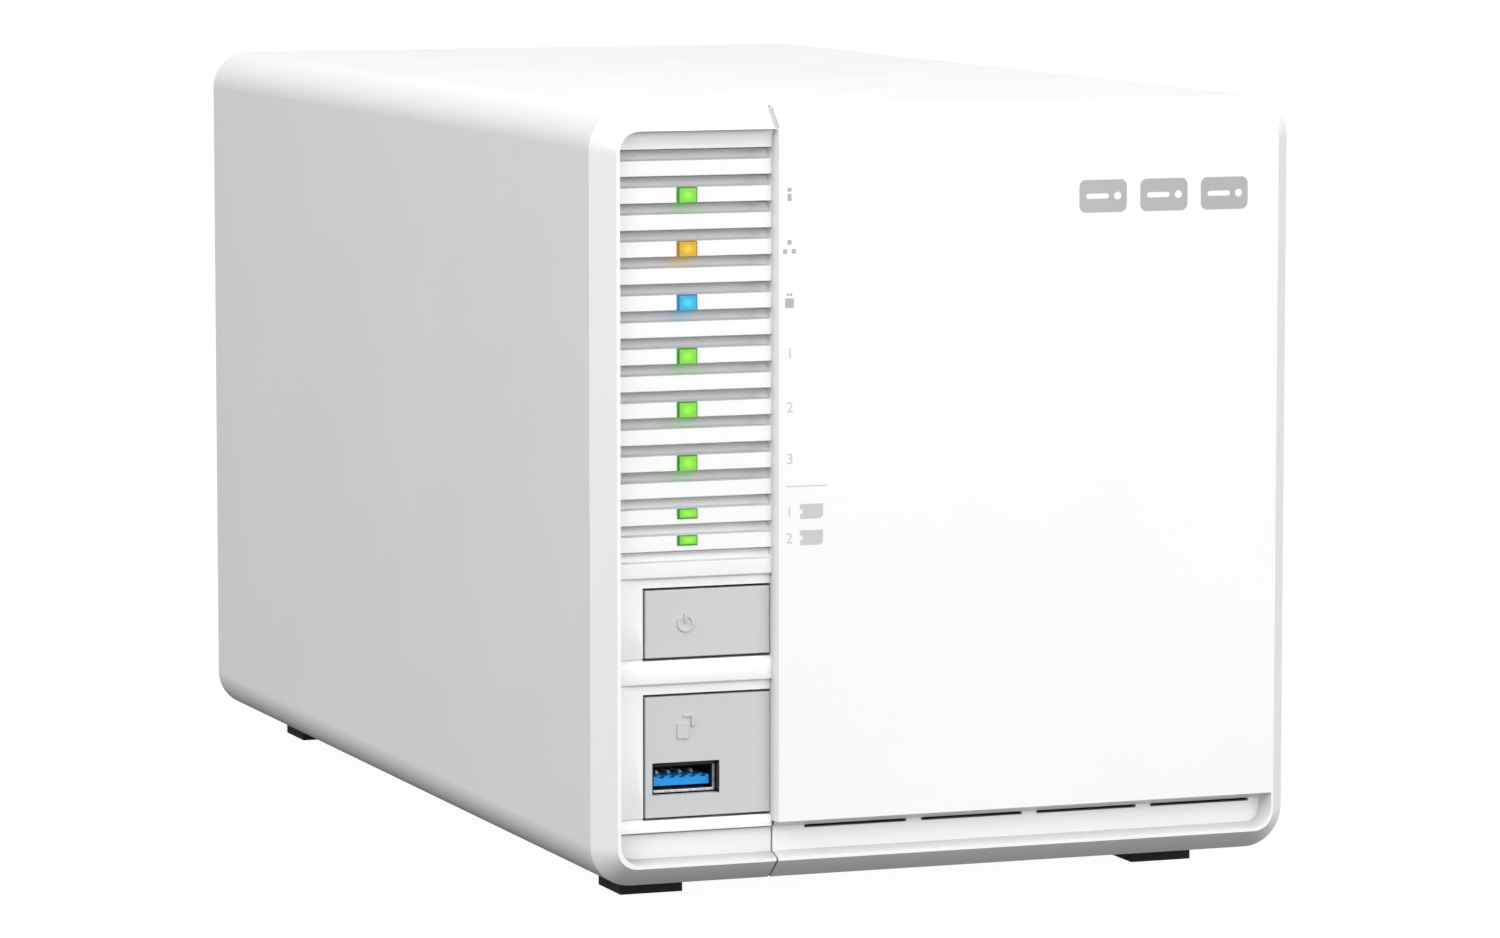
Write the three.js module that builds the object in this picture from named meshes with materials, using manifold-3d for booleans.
// A three-bay network attached storage unit: a desktop box with a louvred strip of lamps and buttons on the left,
// a pull-off front cover over three drive trays on the right, and a fan and sockets at the rear.
// Millimetres. +X is right and +Z is up as seen from the front, and +Y runs to the rear.
// Inside the "body" group, x is measured from the middle, y from the front plane and z from the body's underside.
import * as THREE from "three";
import { mergeVertices } from "three/addons/utils/BufferGeometryUtils.js";
import Module from "manifold-3d";

const wasm = await Module();
wasm.setup();

// Overall size
const width = 142;
const bodyHeight = 145.8;
const footHeight = 4.8;
const bodyDepth = 258.3;
const totalDepth = 260.1;

// Casing
const half = width / 2;
const cornerRadius = 7.8;
const cornerSteps = 8;
const sideWall = 1.5;
const flatWall = 2;
const gap = 0.3;
const chamfer = { side: 3.8, top: 4.4, bottom: 3.7, depth: 4.6 };
const seam = { left: -35.6, right: -35.2 };
const beyond = 20;

// Recess on the left of the front, which holds the louvres and the buttons
const recess = { left: -66.5, low: 9.8, high: 141.5, radius: 3, bezel: 8 };
const scoop = { low: 4.3, floorLow: 5.2, roof: 11.1, floorRoof: 9.9, right: 66.8, floorRight: 65.5, depth: 3.2 };
const scoopCorner = { mouth: 4, floor: 2.9 };
const scoopSlots = { count: 4, first: -28.8, pitch: 23.8, length: 20.8, height: 0.6 };

// Louvre panel
const louvre = { count: 16, pitch: 5, lowest: 63, face: 2.9, front: 2.1, groove: 4.9 };
const plateFront = 3;
const powerPlate = [42.9, 58];
const copyPlate = [12.8, 38];
const panelRight = -35.7;
const flange = { front: 8.3, rear: 9.8 };
const buttonLeft = -61.15;
const buttonGap = 0.5;
const powerWindow = [42.4, 56.15];
const copyWindow = [12.3, 36.1];

// Lamps: which louvre each lens sits on, counted from the lowest, and its height range above that louvre's lip
const lensX = -52.65;
const lensWidth = 3.9;
const lensFront = 1.8;
const lensRear = 17.6;
const tallLens = [0.05, 3];
const shortLens = [1.25, 2.95];
const lenses = [
  { name: "lens_status", louvre: 13, span: tallLens, colour: 0x7ee04a },
  { name: "lens_network", louvre: 11, span: tallLens, colour: 0xf0b83c },
  { name: "lens_expansion", louvre: 9, span: tallLens, colour: 0x4fb8e8 },
  { name: "lens_drive_1", louvre: 7, span: tallLens, colour: 0x7ee04a },
  { name: "lens_drive_2", louvre: 5, span: tallLens, colour: 0x7ee04a },
  { name: "lens_drive_3", louvre: 3, span: tallLens, colour: 0x7ee04a },
  { name: "lens_module_1", louvre: 1, span: shortLens, colour: 0x7ee04a },
  { name: "lens_module_2", louvre: 0, span: shortLens, colour: 0x7ee04a },
];

// Front socket
const usb = { left: -59, low: 17.2, wide: 12.8, tall: 5.6, wall: 0.5, front: 4.7, rear: 18.7 };
const frontBoard = { front: 19, rear: 20.6 };

// Drive bays
const bayCount = 3;
const bayPitch = 45;
const firstBayZ = 28;
const bayX = 16.7;
const drive = { wide: 101.6, tall: 26.1, long: 147, front: 20, lift: -14.2 };
const tray = { wide: 102.6, tall: 43.8, front: 9, plate: 3, floor: 2, floorRear: 172, floorTop: -14.5 };
const cage = { left: -35.9, right: 69.2, sheet: 0.9, low: 4.5, high: 141.5, front: 12.6, rear: 176, bend: 3.4 };
const backplane = { front: 176.4, rear: 178 };
const handle = { pivotX: 50, axisY: 7.3, reach: 62, thick: 2.6, half: 5 };

// Rear
const rearPanel = { front: 255.3, rear: 256.5 };
const fan = { x: bayX, z: 73, side: 92, front: 230, rear: 255, bore: 43.5, holePitch: 82.5, hub: 17, blade: 42 };
const mainBoard = { left: -43.5, right: -41.9 };
const socketRear = 256.8;
const socketBase = mainBoard.left - gap;
const sockets = {
  usbPair: { z: 115, wide: 14.6, deep: 16, front: 238.8 },
  ethernet: { z: 91, wide: 16.4, deep: 13.8, front: 235.3 },
  display: { z: 70, wide: 15.2, deep: 6.2, front: 244.8 },
  usbSingle: { z: 50, wide: 14.6, deep: 7.4, front: 238.8 },
  power: { z: 26, wide: 11, deep: 11, front: 242.8 },
};
const reset = { x: -50, z: 131, radius: 1.1, front: 249, rear: 256.2 };
const caseScrews = [
  [-61, 12],
  [61, 12],
];
const feet = { wide: 12.6, long: 12.6, x: 53, y: [27.6, 238.2], sunk: 0.6 };

// ---- Solids from closed three.js geometry ----

function solid(geometry) {
  const bare = new THREE.BufferGeometry();
  bare.setAttribute("position", geometry.getAttribute("position"));
  bare.setIndex(geometry.index);
  const merged = mergeVertices(bare, 1e-4);
  const mesh = new wasm.Mesh({
    numProp: 3,
    vertProperties: merged.getAttribute("position").array,
    triVerts: new Uint32Array(merged.index.array),
  });
  return new wasm.Manifold(mesh);
}

function geometryOf(shape) {
  const mesh = shape.getMesh();
  const geometry = new THREE.BufferGeometry();
  geometry.setAttribute("position", new THREE.BufferAttribute(mesh.vertProperties, 3));
  geometry.setIndex(new THREE.BufferAttribute(mesh.triVerts, 1));
  geometry.computeVertexNormals();
  return geometry;
}

function join(...parts) {
  return parts.reduce((whole, part) => whole.add(part));
}

function cut(whole, ...tools) {
  return tools.reduce((rest, tool) => rest.subtract(tool), whole);
}

// A box between low and high values on each axis.
function block([x0, x1], [y0, y1], [z0, z1]) {
  const geometry = new THREE.BoxGeometry(x1 - x0, y1 - y0, z1 - z0);
  geometry.translate((x0 + x1) / 2, (y0 + y1) / 2, (z0 + z1) / 2);
  return solid(geometry);
}

// A flat outline in x and z, extruded from one depth to another.
function plate(shape, [y0, y1], steps = 6) {
  const geometry = new THREE.ExtrudeGeometry(shape, { depth: y1 - y0, bevelEnabled: false, curveSegments: steps });
  geometry.rotateX(Math.PI / 2);
  geometry.translate(0, y1, 0);
  return solid(geometry);
}

// A section in y and z, extruded across in x.
function rail(shape, [x0, x1]) {
  const geometry = new THREE.ExtrudeGeometry(shape, { depth: x1 - x0, bevelEnabled: false });
  const turn = new THREE.Matrix4().makeBasis(
    new THREE.Vector3(0, 1, 0),
    new THREE.Vector3(0, 0, 1),
    new THREE.Vector3(1, 0, 0),
  );
  geometry.applyMatrix4(turn);
  geometry.translate(x0, 0, 0);
  return solid(geometry);
}

// A round bar along the depth, centred on x and z.
function barY(radius, [y0, y1], [x, z], sides = 24) {
  const geometry = new THREE.CylinderGeometry(radius, radius, y1 - y0, sides);
  geometry.translate(x, (y0 + y1) / 2, z);
  return solid(geometry);
}

// An upright round bar, centred on x and y.
function barZ(radius, [z0, z1], [x, y], sides = 16) {
  const geometry = new THREE.CylinderGeometry(radius, radius, z1 - z0, sides);
  geometry.rotateX(Math.PI / 2);
  geometry.translate(x, y, (z0 + z1) / 2);
  return solid(geometry);
}

function roundedRect([x0, x1], [z0, z1], radius) {
  const shape = new THREE.Shape();
  shape.absarc(x1 - radius, z0 + radius, radius, -Math.PI / 2, 0);
  shape.absarc(x1 - radius, z1 - radius, radius, 0, Math.PI / 2);
  shape.absarc(x0 + radius, z1 - radius, radius, Math.PI / 2, Math.PI);
  shape.absarc(x0 + radius, z0 + radius, radius, Math.PI, Math.PI * 1.5);
  shape.closePath();
  return shape;
}

// The points of a rounded rectangle at one depth, counter-clockwise as seen from the front.
function ring([x0, x1], [z0, z1], radius, y) {
  const corners = [
    [x1 - radius, z0 + radius, -Math.PI / 2],
    [x1 - radius, z1 - radius, 0],
    [x0 + radius, z1 - radius, Math.PI / 2],
    [x0 + radius, z0 + radius, Math.PI],
  ];
  const points = [];
  for (const [x, z, start] of corners) {
    for (let i = 0; i <= cornerSteps; i++) {
      const angle = start + ((i / cornerSteps) * Math.PI) / 2;
      points.push([x + radius * Math.cos(angle), y, z + radius * Math.sin(angle)]);
    }
  }
  return points;
}

// A closed skin through rings of equal count, from the front ring to the rear one.
function loft(rings) {
  const count = rings[0].length;
  const last = (rings.length - 1) * count;
  const index = [];
  for (let r = 0; r < rings.length - 1; r++) {
    for (let i = 0; i < count; i++) {
      const a = r * count + i;
      const b = r * count + ((i + 1) % count);
      index.push(a, a + count, b);
      index.push(b, a + count, b + count);
    }
  }
  for (let i = 1; i < count - 1; i++) {
    index.push(0, i, i + 1);
    index.push(last, last + i + 1, last + i);
  }
  const geometry = new THREE.BufferGeometry();
  geometry.setAttribute("position", new THREE.Float32BufferAttribute(rings.flat(2), 3));
  geometry.setIndex(index);
  return solid(geometry);
}

// ---- Casing ----

// The outside of the whole body: a rounded box with a flat chamfer round its front edge.
function envelope() {
  const inner = cornerRadius - chamfer.side;
  return loft([
    ring([chamfer.side - half, half - chamfer.side], [chamfer.bottom, bodyHeight - chamfer.top], inner, 0),
    ring([-half, half], [0, bodyHeight], cornerRadius, chamfer.depth),
    ring([-half, half], [0, bodyHeight], cornerRadius, bodyDepth),
  ]);
}

// The hollow inside the casing walls, from a given depth to past the rear.
function hollow(from) {
  const x = [sideWall - half, half - sideWall];
  const z = [flatWall, bodyHeight - flatWall];
  return plate(roundedRect(x, z, cornerRadius - sideWall), [from, bodyDepth + beyond]);
}

// The finger scoop under the front face: its floor is smaller than its mouth, and it runs across the seam.
function scoopPocket(left, floorLeft, roof, floorRoof) {
  const slope = 1 / scoop.depth;
  const out = (mouth, floor) => mouth + (mouth - floor) * slope;
  const corner = (radius, [low, high]) => Math.min(radius, (high - low) / 2 - 0.05);
  const mouthX = [out(left, floorLeft), out(scoop.right, scoop.floorRight)];
  const mouthZ = [out(scoop.low, scoop.floorLow), out(roof, floorRoof)];
  const floorX = [floorLeft, scoop.floorRight];
  const floorZ = [scoop.floorLow, floorRoof];
  const mouth = ring(mouthX, mouthZ, corner(scoopCorner.mouth, mouthZ), -1);
  const floor = ring(floorX, floorZ, corner(scoopCorner.floor, floorZ), scoop.depth);
  return loft([mouth, floor]);
}

// Shallow pockets in the underside where the feet are stuck on.
function footPockets() {
  const pockets = [];
  for (const side of [-1, 1]) {
    for (const y of feet.y) {
      const x = side * feet.x;
      const across = [x - feet.wide / 2 - gap, x + feet.wide / 2 + gap];
      const along = [y - feet.long / 2 - gap, y + feet.long / 2 + gap];
      pockets.push(block(across, along, [-1, feet.sunk + gap]));
    }
  }
  return join(...pockets);
}

function leftShell() {
  const section = envelope().intersect(block([-half - 1, seam.left], [-1, bodyDepth + 1], [-1, bodyHeight + 1]));
  const window = plate(roundedRect([recess.left, beyond], [recess.low, recess.high], recess.radius), [-1, beyond]);
  const squareFoot = block([recess.left, 0], [-1, beyond], [recess.low, recess.low + beyond]);
  const leftScoop = scoopPocket(recess.left, recess.left + 0.4, recess.low + beyond, recess.low + beyond);
  return cut(section, hollow(recess.bezel), window, squareFoot, leftScoop, footPockets());
}

function rightShell() {
  const keep = block([seam.right, half + 1], [chamfer.depth + gap, bodyDepth + 1], [-1, bodyHeight + 1]);
  return cut(envelope().intersect(keep), hollow(-1), footPockets());
}

function frontCover() {
  const section = envelope().intersect(block([seam.right, half + 1], [-1, chamfer.depth], [-1, bodyHeight + 1]));
  const back = block([seam.right + 2, half - 5], [2, beyond], [13.2, bodyHeight - 6]);
  const pocket = scoopPocket(-half, -half, scoop.roof, scoop.floorRoof);
  const slots = [];
  for (let i = 0; i < scoopSlots.count; i++) {
    const x = scoopSlots.first + i * scoopSlots.pitch;
    const z = scoop.floorRoof - scoopSlots.height;
    slots.push(block([x, x + scoopSlots.length], [2.6, beyond], [z, scoop.floorRoof + 0.1]));
  }
  return cut(section, back, pocket, ...slots);
}

function coverMagnet() {
  return barY(4, [2.3, 4.3], [0, 0], 20);
}

function foot() {
  const across = [-feet.wide / 2, feet.wide / 2];
  const along = [-feet.long / 2, feet.long / 2];
  return block(across, along, [-footHeight, feet.sunk]);
}

// ---- Louvre panel, lamps, buttons and front socket ----

function louvreBottom(i) {
  return louvre.lowest + i * louvre.pitch;
}

// The panel's section: plates round the buttons, bands between them, then the louvres one above another.
// The top of each band slopes forward from a shallow groove under the part above it.
function louvreSection() {
  const slope = louvre.pitch - louvre.face;
  const shallow = plateFront + 0.5;
  const shape = new THREE.Shape();
  shape.moveTo(flange.front + 0.1, recess.low + gap);
  shape.lineTo(louvre.front, recess.low + gap);
  for (const [low, high] of [copyPlate, powerPlate]) {
    shape.lineTo(louvre.front, low - 1.6);
    shape.lineTo(shallow, low - 0.1);
    shape.lineTo(plateFront, low);
    shape.lineTo(plateFront, high);
    shape.lineTo(louvre.front, high);
  }
  for (let i = 0; i < louvre.count; i++) {
    shape.lineTo(louvre.front, louvreBottom(i) - slope);
    shape.lineTo(louvre.groove, louvreBottom(i));
    shape.lineTo(louvre.front, louvreBottom(i));
  }
  shape.lineTo(louvre.front, recess.high - gap);
  shape.lineTo(flange.front + 0.1, recess.high - gap);
  shape.closePath();
  return shape;
}

function lensSpan(lens, below = 0, above = 0) {
  const lip = louvreBottom(lens.louvre);
  return [lip + lens.span[0] - below, lip + lens.span[1] + above];
}

// A tall lens takes its louvre's whole height, so its hole runs on into the grooves above and below.
function lensHole(lens) {
  const below = lens.span === tallLens ? 0.35 : 0.12;
  const x = [lensX - lensWidth / 2 - 0.1, lensX + lensWidth / 2 + 0.1];
  return block(x, [-1, beyond], lensSpan(lens, below, 0.35));
}

function louvrePanel() {
  const inset = roundedRect([recess.left + gap, beyond], [-beyond, recess.high - gap], recess.radius);
  const slats = rail(louvreSection(), [recess.left + gap, panelRight]).intersect(plate(inset, [0, beyond]));
  const rim = roundedRect([recess.left - 1.8, beyond], [5, bodyHeight - 3], 5.2);
  const frame = cut(
    plate(rim, [flange.front, flange.rear]),
    block([panelRight, half], [0, beyond], [-beyond, bodyHeight + beyond]),
  );
  const power = block([buttonLeft, 0], [-1, beyond], powerWindow);
  const copy = block([buttonLeft, 0], [-1, beyond], copyWindow);
  return cut(join(slats, frame), power, copy, ...lenses.map(lensHole));
}

function lensPiece(lens) {
  const x = [lensX - lensWidth / 2, lensX + lensWidth / 2];
  return block(x, [lensFront, lensRear], lensSpan(lens));
}

// A push button: its cap, a stiffening rib behind it and the plunger that meets the switch.
function button([z0, z1], plungerZ) {
  const across = [buttonLeft + buttonGap, panelRight - 0.1];
  const cap = block(across, [plateFront, plateFront + 1.8], [z0 + buttonGap, z1 - buttonGap]);
  const rib = block([buttonLeft + 2, panelRight - 2], [plateFront + 1.5, plateFront + 3.2], [plungerZ - 1, plungerZ + 1]);
  const plunger = barY(2, [plateFront + 1.5, 14.4], [-48, plungerZ], 16);
  return join(cap, rib, plunger);
}

function powerButton() {
  return button(powerWindow, 49.5);
}

function copyButton() {
  const x = [usb.left - gap, usb.left + usb.wide + gap];
  const z = [usb.low - gap, usb.low + usb.tall + gap];
  return cut(button(copyWindow, 29.5), block(x, [-1, beyond], z));
}

function frontUsbShell() {
  const x = [usb.left, usb.left + usb.wide];
  const z = [usb.low, usb.low + usb.tall];
  const inner = block(
    [x[0] + usb.wall, x[1] - usb.wall],
    [-1, usb.rear - 1],
    [z[0] + usb.wall, z[1] - usb.wall],
  );
  return cut(block(x, [usb.front, usb.rear], z), inner);
}

function frontUsbTongue() {
  const x = [usb.left + 0.85, usb.left + usb.wide - 0.85];
  return block(x, [usb.front + 1, usb.rear - 1.3], [usb.low + 1.1, usb.low + 2.9]);
}

// The board behind the louvres, with its switches and lamps soldered on.
function frontBoardPiece() {
  const board = block([-64, -40], [frontBoard.front, frontBoard.rear], [12, 138]);
  const switches = [29.5, 49.5].map((z) => {
    const housing = block([-51, -45], [17.2, frontBoard.front + 0.1], [z - 3, z + 3]);
    return join(housing, barY(1.6, [15.6, 17.3], [-48, z], 12));
  });
  const lamps = lenses.map((lens) => {
    return block([lensX - 1.5, lensX + 1.5], [lensRear + 0.4, frontBoard.front + 0.1], lensSpan(lens));
  });
  return join(board, ...switches, ...lamps);
}

// ---- Drive bays; a tray, its handle and its drive are made about the bay's middle height ----

function bayZ(i) {
  return firstBayZ + i * bayPitch;
}

function driveCage() {
  const { left, right, sheet, low, high, front, rear, bend } = cage;
  const outer = plate(roundedRect([left, right], [low, high], bend), [front, rear], 3);
  const clear = roundedRect([left + sheet, right - sheet], [low + sheet, high - sheet], bend - sheet);
  const inner = plate(clear, [0, 300], 3);
  const ledges = [];
  const cutouts = [];
  for (let i = 0; i < bayCount; i++) {
    const top = bayZ(i) + tray.floorTop - tray.floor - gap;
    ledges.push(block([left + 0.1, left + 5], [front, rear], [top - sheet, top]));
    ledges.push(block([right - 5, right - 0.1], [front, rear], [top - sheet, top]));
    for (const y of [40, 85, 130]) {
      cutouts.push(block([left - 1, left + sheet + 0.05], [y, y + 24], [bayZ(i) - 6, bayZ(i) + 12]));
    }
  }
  return cut(join(cut(outer, inner), ...ledges), ...cutouts);
}

function driveTray() {
  const x = [bayX - tray.wide / 2, bayX + tray.wide / 2];
  const y = [tray.front, tray.front + tray.plate];
  const floorZ = [tray.floorTop - tray.floor, tray.floorTop];
  const frontPlate = plate(roundedRect(x, [-tray.tall / 2, tray.tall / 2], 1.5), y, 2);
  const floor = block(x, [tray.front + 1, tray.floorRear], floorZ);
  const windows = [];
  for (const y0 of [36, 76, 116]) {
    for (const x0 of [bayX - 32, bayX + 8]) {
      windows.push(block([x0, x0 + 24], [y0, y0 + 24], [-30, 0]));
    }
  }
  const vents = [];
  for (let i = 0; i < 9; i++) {
    const left = x[0] + 8 + i * 10;
    vents.push(block([left, left + 6.5], [0, beyond], [13.2, 17.8]));
  }
  const lugTop = handle.half + 2.6;
  const lugs = [
    [handle.half + gap, lugTop],
    [-lugTop, -handle.half - gap],
  ].map((lugZ) => block([handle.pivotX - 2.4, handle.pivotX + 2.4], [handle.axisY - 1.5, y[0] + 0.1], lugZ));
  return cut(join(frontPlate, floor, ...lugs), ...windows, ...vents);
}

// The lever that pulls a tray out: a flat bar with a thumb lip, round at its upright pivot.
function trayHandle() {
  const { pivotX, axisY, reach, thick, half: tall } = handle;
  const bar = block([pivotX - reach, pivotX], [axisY - thick / 2, axisY + thick / 2], [-tall, tall]);
  const pivot = barZ(thick / 2, [-tall, tall], [pivotX, axisY]);
  const lip = block([pivotX - reach, pivotX - reach + 2.2], [axisY - 2.4, axisY], [-tall, tall]);
  return join(bar, pivot, lip);
}

// A 3.5 inch drive: a cast base with a stepped lid.
function hardDrive() {
  const x = [bayX - drive.wide / 2, bayX + drive.wide / 2];
  const y = [drive.front, drive.front + drive.long];
  const base = block(x, y, [drive.lift, drive.lift + drive.tall - 3]);
  const lid = block([x[0] + 3, x[1] - 3], [y[0] + 4, y[1] - 4], [drive.lift + 5, drive.lift + drive.tall]);
  const plugNotch = block([bayX - 22, bayX + 22], [y[1] - 1.2, y[1] + 1], [drive.lift + 2, drive.lift + 9]);
  return cut(join(base, lid), plugNotch);
}

// The board behind the cage: a plug for each drive, air windows, and a tab that reaches the main board.
function backplaneBoard() {
  const board = block([-34.4, 67.8], [backplane.front, backplane.rear], [6, 140]);
  const tab = block([mainBoard.right + gap, -34], [backplane.front, backplane.rear], [58, 88]);
  const plugs = [];
  const windows = [];
  for (let i = 0; i < bayCount; i++) {
    const z = bayZ(i) + drive.lift;
    const y = [drive.front + drive.long + gap, backplane.front + 0.1];
    plugs.push(block([bayX - 21, bayX + 21], y, [z + 2.2, z + 8.6]));
    for (const left of [-28, 4.7, 37.4]) {
      windows.push(block([left, left + 24], [100, 200], [z + 12, z + 36]));
    }
  }
  return join(cut(join(board, tab), ...windows), ...plugs);
}

// ---- Main board and what is on it ----

function mainBoardPiece() {
  const { left, right } = mainBoard;
  const board = block([left, right], [30, 253], [14, 137]);
  const memorySlot = block([left - 5.4, left + 0.1], [60, 128], [14.4, 18.4]);
  const moduleSlots = [120.4, 210.4].map((y) => block([left - 4.4, left + 0.1], [y, y + 6], [109, 129]));
  const coils = [0, 1, 2].map((i) => block([left - 6, left + 0.1], [100, 107], [58 + i * 14, 66 + i * 14]));
  return join(board, memorySlot, ...moduleSlots, ...coils);
}

function heatSink() {
  const base = block([-47, socketBase], [120, 166], [54, 100]);
  const fins = [];
  for (let i = 0; i < 9; i++) {
    const z = 54 + i * 5.6;
    fins.push(block([-60, -46.9], [120, 166], [z, z + 1.2]));
  }
  return join(base, ...fins);
}

function memoryModule() {
  const card = block([-47.4, -46.2], [60.6, 127.4], [18.8, 48]);
  const chips = [64, 80, 96, 112].map((y) => block([-48.4, -47.3], [y, y + 11], [26, 40]));
  return join(card, ...chips);
}

function storageModule() {
  const card = block([-46.4, -45.6], [0, 80], [108, 130]);
  const chips = [8, 30, 52].map((y) => block([-47.7, -46.3], [y, y + 15], [111, 127]));
  return join(card, ...chips);
}

// ---- Rear ----

function socketBox({ z, wide, deep, front }, clearance = 0) {
  const x = [socketBase - deep - clearance, socketBase + clearance];
  return block(x, [front, socketRear], [z - wide / 2 - clearance, z + wide / 2 + clearance]);
}

function rearPanelPiece() {
  const x = [sideWall - half + gap, half - sideWall - gap];
  const z = [flatWall + gap, bodyHeight - flatWall - gap];
  const panel = plate(roundedRect(x, z, cornerRadius - sideWall - gap), [rearPanel.front, rearPanel.rear]);
  const holes = Object.values(sockets).map((socket) => socketBox(socket, gap));
  holes.push(barY(fan.bore, [200, 300], [fan.x, fan.z], 48));
  holes.push(barY(reset.radius + gap, [200, 300], [reset.x, reset.z], 12));
  for (const [dx, dz] of fanCorners()) {
    holes.push(barY(2.2, [200, 300], [fan.x + dx, fan.z + dz], 12));
  }
  for (const spot of caseScrews) {
    holes.push(barY(2, [200, 300], spot, 12));
  }
  for (let i = 0; i < 8; i++) {
    const left = -22 + i * 10;
    holes.push(block([left, left + 6], [200, 300], [127, 136]));
  }
  const lockSlot = block([60, 67], [200, 300], [24, 27]);
  return cut(panel, lockSlot, ...holes);
}

function fanCorners() {
  const reach = fan.holePitch / 2;
  return [
    [-reach, -reach],
    [reach, -reach],
    [-reach, reach],
    [reach, reach],
  ];
}

// The fan's square frame, with the motor mount held by four struts at the rear.
function fanFrame() {
  const reach = fan.side / 2;
  const x = [fan.x - reach, fan.x + reach];
  const z = [fan.z - reach, fan.z + reach];
  const centre = [fan.x, fan.z];
  const square = plate(roundedRect(x, z, 4), [fan.front, fan.rear], 3);
  const duct = barY(fan.bore, [200, 300], centre, 40);
  const screwHoles = fanCorners().map(([dx, dz]) => barY(2.2, [200, 300], [fan.x + dx, fan.z + dz], 12));
  const mount = barY(fan.hub + 1, [fan.rear - 3, fan.rear], centre, 32);
  const coils = barY(12, [fan.rear - 17, fan.rear - 2.9], centre, 24);
  const bearing = barY(1.9, [200, fan.rear - 4], centre, 16);
  const struts = [0, 1, 2, 3].map((i) => {
    const geometry = new THREE.BoxGeometry(fan.bore - fan.hub + 2, 3, 4);
    geometry.translate((fan.bore + fan.hub) / 2, 0, 0);
    geometry.rotateY((i * Math.PI) / 2 + Math.PI / 4);
    geometry.translate(fan.x, fan.rear - 1.5, fan.z);
    return solid(geometry);
  });
  return cut(join(cut(square, duct, ...screwHoles), mount, coils, ...struts), bearing);
}

// One pitched blade, from inside the hub to the tip.
function fanBlade(i, count) {
  const geometry = new THREE.BoxGeometry(fan.blade - fan.hub + 1.5, 1.4, 21, 4, 1, 1);
  const position = geometry.getAttribute("position");
  const pitch = 0.72;
  for (let v = 0; v < position.count; v++) {
    const along = position.getX(v) / (fan.blade - fan.hub) + 0.5;
    const angle = pitch * (1 - 0.45 * along);
    const y = position.getY(v);
    const z = position.getZ(v);
    position.setY(v, y * Math.cos(angle) - z * Math.sin(angle));
    position.setZ(v, y * Math.sin(angle) + z * Math.cos(angle));
  }
  geometry.translate((fan.blade + fan.hub) / 2 - 0.75, 0, 0);
  geometry.rotateY((i * 2 * Math.PI) / count);
  geometry.translate(fan.x, fan.front + 12, fan.z);
  return solid(geometry);
}

function fanRotor() {
  const centre = [fan.x, fan.z];
  const cup = barY(fan.hub, [fan.front + 2, fan.rear - 4.4], centre, 36);
  const inside = barY(fan.hub - 2, [fan.front + 5, 300], centre, 36);
  const axle = barY(1.5, [fan.front + 4.9, fan.rear - 5], centre, 16);
  const blades = [];
  const count = 7;
  for (let i = 0; i < count; i++) {
    blades.push(fanBlade(i, count));
  }
  const trim = barY(fan.blade, [fan.front + 1, fan.rear - 3.6], centre, 48);
  return join(cut(join(cup, ...blades).intersect(trim), inside), axle);
}

// The wire guard outside the fan: rings joined by spokes that end in eyes under the screw heads.
function fanGuard() {
  const wire = 0.8;
  const middle = 257.9;
  const rings = [11, 21, 31, 41].map((radius) => {
    const geometry = new THREE.TorusGeometry(radius, wire, 5, 28);
    geometry.rotateX(Math.PI / 2);
    geometry.translate(fan.x, middle, fan.z);
    return solid(geometry);
  });
  const eyeReach = Math.hypot(fan.holePitch, fan.holePitch) / 2;
  const spokes = [0, 1, 2, 3].map((i) => {
    const geometry = new THREE.BoxGeometry(eyeReach - 10, 1.3, 1.3);
    geometry.translate((eyeReach + 10) / 2 - 1.5, 0, 0);
    geometry.rotateY((i * Math.PI) / 2 + Math.PI / 4);
    geometry.translate(fan.x, middle - 0.5, fan.z);
    return solid(geometry);
  });
  const eyes = fanCorners().map(([dx, dz]) => barY(3.6, [256.8, 257.8], [fan.x + dx, fan.z + dz], 16));
  const holes = fanCorners().map(([dx, dz]) => barY(2.1, [250, 300], [fan.x + dx, fan.z + dz], 12));
  return cut(join(...rings, ...spokes, ...eyes), ...holes);
}

// A cross-head screw along the depth, its head towards the rear.
function screw({ headRadius, headFront, shankRadius, shankFront }) {
  const head = barY(headRadius, [headFront, totalDepth], [0, 0], 16);
  const shank = barY(shankRadius, [shankFront, headFront + 0.1], [0, 0], 12);
  const slotDepth = [totalDepth - 0.9, 300];
  const across = block([-2, 2], slotDepth, [-0.4, 0.4]);
  const upright = block([-0.4, 0.4], slotDepth, [-2, 2]);
  return cut(join(head, shank), across, upright);
}

function fanScrew() {
  return screw({ headRadius: 3.3, headFront: 258.1, shankRadius: 1.8, shankFront: 236 });
}

function caseScrew() {
  return screw({ headRadius: 4.4, headFront: rearPanel.rear + gap, shankRadius: 1.7, shankFront: 247 });
}

// A socket whose contacts sit on a tongue: a box with one slot for each plug.
function tongueSocket(socket, slots) {
  const body = socketBox(socket);
  const tall = 4.9;
  const cavities = [];
  const tongues = [];
  for (const x of slots) {
    const z = [socket.z - socket.wide / 2 + 1, socket.z + socket.wide / 2 - 1];
    cavities.push(block([x - tall / 2, x + tall / 2], [socketRear - 12, 300], z));
    tongues.push(block([x - 0.2, x + 1.6], [socketRear - 12.1, socketRear - 0.8], [z[0] + 0.7, z[1] - 0.7]));
  }
  return join(cut(body, ...cavities), ...tongues);
}

function ethernetPort() {
  const socket = sockets.ethernet;
  const x = socketBase - socket.deep / 2;
  const mouth = block([x - 4, x + 4], [socketRear - 13, 300], [socket.z - 6, socket.z + 6]);
  const latch = block([x - 5.8, x - 3.9], [socketRear - 9, 300], [socket.z - 3.2, socket.z + 3.2]);
  return cut(socketBox(socket), mouth, latch);
}

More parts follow.
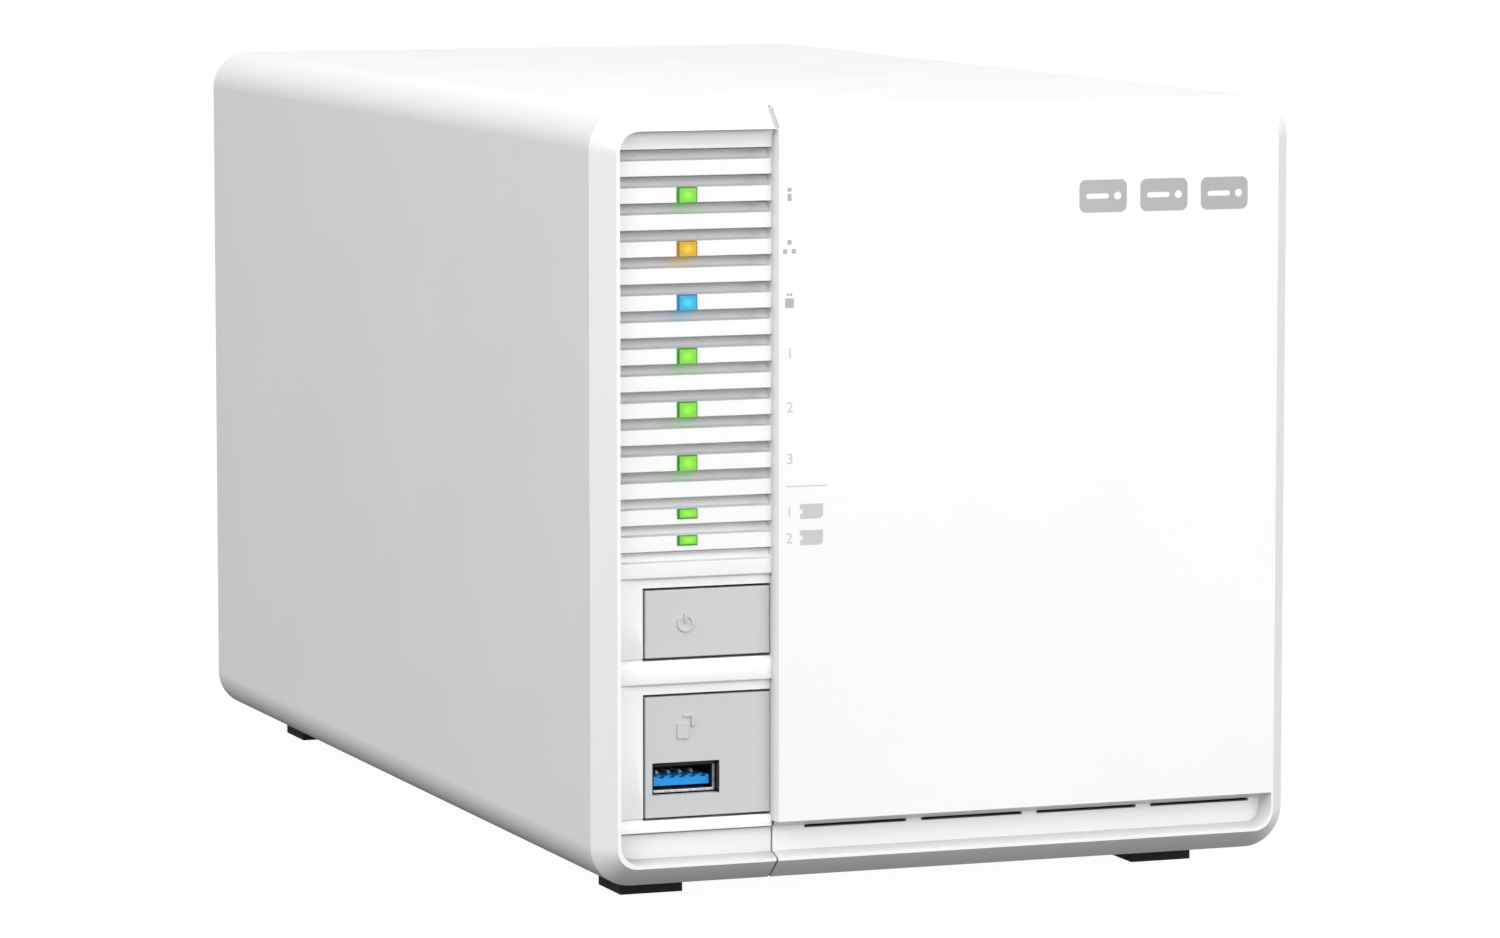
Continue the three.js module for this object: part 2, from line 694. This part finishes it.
function displayPort() {
  const socket = sockets.display;
  const x = socketBase - socket.deep / 2;
  const mouth = block([x - 2.1, x + 2.1], [socketRear - 9, 300], [socket.z - 6.8, socket.z + 6.8]);
  const tongue = block([x - 0.5, x + 0.5], [socketRear - 9.1, socketRear - 1.2], [socket.z - 5.4, socket.z + 5.4]);
  return join(cut(socketBox(socket), mouth), tongue);
}

// The round inlet for the external power supply's plug.
function powerInlet() {
  const socket = sockets.power;
  const centre = [socketBase - socket.deep / 2, socket.z];
  const mouth = barY(3.3, [socketRear - 10, 300], centre, 24);
  const pin = barY(1.2, [socketRear - 10.1, socketRear - 1], centre, 12);
  return join(cut(socketBox(socket), mouth), pin);
}

function resetButton() {
  return join(
    barY(reset.radius, [reset.front, reset.rear], [reset.x, reset.z], 12),
    barY(reset.radius + 0.8, [reset.front, reset.front + 3], [reset.x, reset.z], 12),
  );
}

// ---- Materials ----

function finish(color, roughness, metalness = 0) {
  return () => new THREE.MeshStandardMaterial({ color, roughness, metalness });
}

const whitePlastic = finish(0xf2f2f2, 0.42);
const greyPlastic = finish(0xcdcecf, 0.45);
const blackPlastic = finish(0x1b1c1e, 0.5);
const blueCast = finish(0x0f6fc0, 0.35);
const rubber = finish(0x141414, 0.85);
const zincSteel = finish(0xb9bcc0, 0.38, 0.9);
const brightSteel = finish(0xd7d9dc, 0.2, 1);
const castAluminium = finish(0x9fa3a8, 0.45, 0.9);
const paintedPanel = finish(0xd9dadb, 0.55, 0.2);
const circuitBoard = finish(0x1d5a38, 0.5);

// ---- Assembly ----

const body = new THREE.Group();
body.position.set(0, -totalDepth / 2, footHeight);

function add(name, shape, material, place = [0, 0, 0]) {
  const mesh = new THREE.Mesh(geometryOf(shape), material());
  mesh.name = name;
  mesh.position.set(...place);
  body.add(mesh);
}

function addCasing() {
  add("left_shell", leftShell(), whitePlastic);
  add("right_shell", rightShell(), whitePlastic);
  add("front_cover", frontCover(), whitePlastic);
  add("rear_panel", rearPanelPiece(), paintedPanel);
  const magnets = [
    [-27, 22],
    [60, 22],
    [-27, 134],
    [60, 134],
  ];
  magnets.forEach(([x, z], i) => add(`cover_magnet_${i + 1}`, coverMagnet(), brightSteel, [x, 0, z]));
  let number = 1;
  for (const y of feet.y) {
    for (const side of [-1, 1]) {
      add(`foot_${number}`, foot(), rubber, [side * feet.x, y, 0]);
      number += 1;
    }
  }
}

function addFrontControls() {
  add("louvre_panel", louvrePanel(), whitePlastic);
  for (const lens of lenses) {
    add(lens.name, lensPiece(lens), finish(lens.colour, 0.3));
  }
  add("power_button", powerButton(), greyPlastic);
  add("copy_button", copyButton(), greyPlastic);
  add("front_usb_shell", frontUsbShell(), brightSteel);
  add("front_usb_tongue", frontUsbTongue(), blueCast);
  add("front_board", frontBoardPiece(), circuitBoard);
}

function addDriveBays() {
  add("drive_cage", driveCage(), zincSteel);
  add("backplane_board", backplaneBoard(), circuitBoard);
  for (let i = 0; i < bayCount; i++) {
    const place = [0, 0, bayZ(bayCount - 1 - i)];
    add(`drive_tray_${i + 1}`, driveTray(), blackPlastic, place);
    add(`tray_handle_${i + 1}`, trayHandle(), blackPlastic, place);
    add(`hard_drive_${i + 1}`, hardDrive(), castAluminium, place);
  }
}

function addMainBoard() {
  add("main_board", mainBoardPiece(), circuitBoard);
  add("heat_sink", heatSink(), castAluminium);
  add("memory_module", memoryModule(), circuitBoard);
  [40, 130].forEach((y, i) => add(`storage_module_${i + 1}`, storageModule(), circuitBoard, [0, y, 0]));
}

function addRear() {
  add("fan_frame", fanFrame(), blackPlastic);
  add("fan_rotor", fanRotor(), blackPlastic);
  add("fan_guard", fanGuard(), brightSteel);
  fanCorners().forEach(([dx, dz], i) => {
    add(`fan_screw_${i + 1}`, fanScrew(), zincSteel, [fan.x + dx, 0, fan.z + dz]);
  });
  caseScrews.forEach(([x, z], i) => add(`case_screw_${i + 1}`, caseScrew(), zincSteel, [x, 0, z]));
  add("rear_usb_pair", tongueSocket(sockets.usbPair, [-47.9, -55.7]), brightSteel);
  add("rear_usb_single", tongueSocket(sockets.usbSingle, [-47.5]), brightSteel);
  add("ethernet_port", ethernetPort(), brightSteel);
  add("display_port", displayPort(), brightSteel);
  add("power_inlet", powerInlet(), blackPlastic);
  add("reset_button", resetButton(), blackPlastic);
}

addCasing();
addFrontControls();
addDriveBays();
addMainBoard();
addRear();

const storageUnit = new THREE.Group();
storageUnit.add(body);

export default storageUnit;
